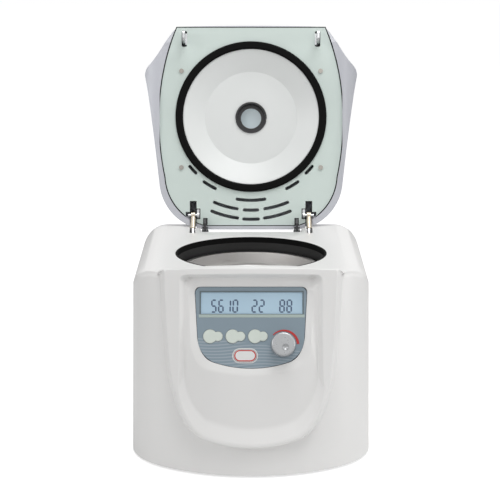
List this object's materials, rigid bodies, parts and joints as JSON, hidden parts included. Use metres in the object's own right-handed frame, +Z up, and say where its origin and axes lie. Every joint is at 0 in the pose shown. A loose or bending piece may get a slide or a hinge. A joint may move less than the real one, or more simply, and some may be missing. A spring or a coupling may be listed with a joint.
{
  "type": "benchtop microcentrifuge",
  "caption": "Benchtop high-speed microcentrifuge with its lid open: angled tube rotor in a steel bowl, sloping control panel, gas struts, latch and rear mains inlet.",
  "frame": {"origin": "under the middle of the bounding box of the instrument with its lid open, at the level of the bench; the rotor's axis is 35.5 mm in front of it", "axes": "+Z up, parallel to the rotor axis, -Y towards the user and the control panel, +X to the user's right"},
  "size_m": [0.283, 0.4544, 0.4782],
  "materials": {
    "housing_plastic": "fine-grained warm white moulding",
    "lid_plastic": "satin lavender-grey white moulding",
    "liner_plate": "pale green-grey powder coat",
    "panel_film": "slate-blue printed polyester film",
    "window": "pale blue clear window",
    "module": "display block",
    "board": "green circuit board",
    "key_plastic": "pale green-white keys",
    "start_plastic": "white start key",
    "knob_plastic": "silver-grey knob",
    "red_print": "red printed arc",
    "rotor_alloy": "hard anodised, fine turned",
    "steel": "brushed stainless",
    "chrome_rod": "hard chrome, ground",
    "zinc": "yellow zinc plate",
    "black_steel": "black paint",
    "rubber_black": "dark rubber",
    "gasket_rubber": "grey silicone rubber",
    "glass": "clear acrylic disc",
    "motor_paint": "dark grey paint",
    "zinc_sheet": "galvanised sheet",
    "rear_sheet": "light grey powder coat",
    "socket_black": "black plastic",
    "screw_steel": "bright plated screws"
  },
  "bodies": {
    "base": {"housing": "housing_plastic", "chamber_collar": "rubber_black", "bowl": "steel", "guard_ring": "black_steel", "motor": "motor_paint", "motor_bearing": "steel", "motor_plate": "zinc_sheet", "motor_dampers": "rubber_black", "motor_pillars": "steel", "shaft_seal": "rubber_black", "fascia": "panel_film", "display_window": "window", "display_module": "module", "control_board": "board", "encoder": "socket_black", "knob_arc": "red_print", "hinge_forks": "black_steel", "hinge_pins": "steel", "strut_posts": "zinc_sheet", "latch_rail": "zinc_sheet", "latch_motor": "socket_black", "base_plate": "zinc_sheet", "feet": "rubber_black", "foot_screws": "screw_steel", "rear_panel": "rear_sheet", "rear_screws": "screw_steel", "mains_inlet": "socket_black", "inlet_pins": "steel", "fuse_drawer": "socket_black", "switch_frame": "socket_black"},
    "lid": {"lid_shell": "lid_plastic", "lid_plate": "liner_plate", "lid_gasket": "gasket_rubber", "lid_dish": "liner_plate", "port_tube": "socket_black", "port_glass": "glass", "lid_hooks": "steel", "plate_screws": "screw_steel", "hinge_arms": "black_steel", "strut_studs": "steel"},
    "rotor_set": {"rotor": "rotor_alloy", "rotor_hub": "steel", "rotor_nut": "steel", "motor_shaft": "steel"},
    "rod_left": {"strut_end_left": "zinc", "strut_rod_left": "chrome_rod"},
    "rod_right": {"strut_end_right": "zinc", "strut_rod_right": "chrome_rod"},
    "cylinder_left": {"strut_cylinder_left": "black_steel"},
    "cylinder_right": {"strut_cylinder_right": "black_steel"},
    "latch": {"latch_bar": "steel"},
    "first_key": {"key_1": "key_plastic"},
    "second_key": {"key_2": "key_plastic"},
    "third_key": {"key_3": "key_plastic"},
    "start": {"start_key": "start_plastic"},
    "dial": {"knob": "knob_plastic", "encoder_shaft": "steel"},
    "power_rocker": {"rocker": "socket_black"}
  },
  "joints": [
    {"name": "lid_hinge", "type": "hinge", "parent": "base", "child": "lid", "pos_m": [0, 0.1152, 0.2183], "axis": [1, 0, 0], "range_deg": [0, 104.5]},
    {"name": "rotor_spin", "type": "hinge", "parent": "base", "child": "rotor_set", "pos_m": [0, -0.0355, 0.15], "axis": [0, 0, 1], "continuous": true},
    {"name": "latch_slide", "type": "slide", "parent": "base", "child": "latch", "axis": [1, 0, 0], "range_m": [0, 0.007]},
    {"name": "rod_left_pin", "type": "hinge", "parent": "lid", "child": "rod_left", "pos_m": [-0.076, 0.12825, 0.236], "axis": [1, 0, 0], "range_deg": [-91.26, 0]},
    {"name": "cylinder_left_slide", "type": "slide", "parent": "rod_left", "child": "cylinder_left", "axis": [0, 0.6406, 0.7679], "range_m": [0, 0.02644]},
    {"name": "rod_right_pin", "type": "hinge", "parent": "lid", "child": "rod_right", "pos_m": [0.076, 0.12825, 0.236], "axis": [1, 0, 0], "range_deg": [-91.26, 0]},
    {"name": "cylinder_right_slide", "type": "slide", "parent": "rod_right", "child": "cylinder_right", "axis": [0, 0.6406, 0.7679], "range_m": [0, 0.02644]},
    {"name": "key_1_push", "type": "slide", "parent": "base", "child": "first_key", "axis": [0, 0.9397, -0.342], "range_m": [0, 0.0008], "stiffness_N_per_m": 500},
    {"name": "key_2_push", "type": "slide", "parent": "base", "child": "second_key", "axis": [0, 0.9397, -0.342], "range_m": [0, 0.0008], "stiffness_N_per_m": 500},
    {"name": "key_3_push", "type": "slide", "parent": "base", "child": "third_key", "axis": [0, 0.9397, -0.342], "range_m": [0, 0.0008], "stiffness_N_per_m": 500},
    {"name": "start_key_push", "type": "slide", "parent": "base", "child": "start", "axis": [0, 0.9397, -0.342], "range_m": [0, 0.0008], "stiffness_N_per_m": 500},
    {"name": "knob_turn", "type": "hinge", "parent": "base", "child": "dial", "pos_m": [0.0368, -0.19018, 0.1484], "axis": [0, -0.9397, 0.342], "continuous": true},
    {"name": "rocker_tilt", "type": "hinge", "parent": "base", "child": "power_rocker", "pos_m": [-0.062, 0.1365, 0.104], "axis": [1, 0, 0], "range_deg": [-14, 0]}
  ],
  "couplings": [
    {"joint": "rod_left_pin", "follows": "lid_hinge", "ratio": -0.87327},
    {"joint": "cylinder_left_slide", "follows": "lid_hinge", "m_per_rad": 0.014499},
    {"joint": "rod_right_pin", "follows": "lid_hinge", "ratio": -0.87327},
    {"joint": "cylinder_right_slide", "follows": "lid_hinge", "m_per_rad": 0.014499}
  ]
}
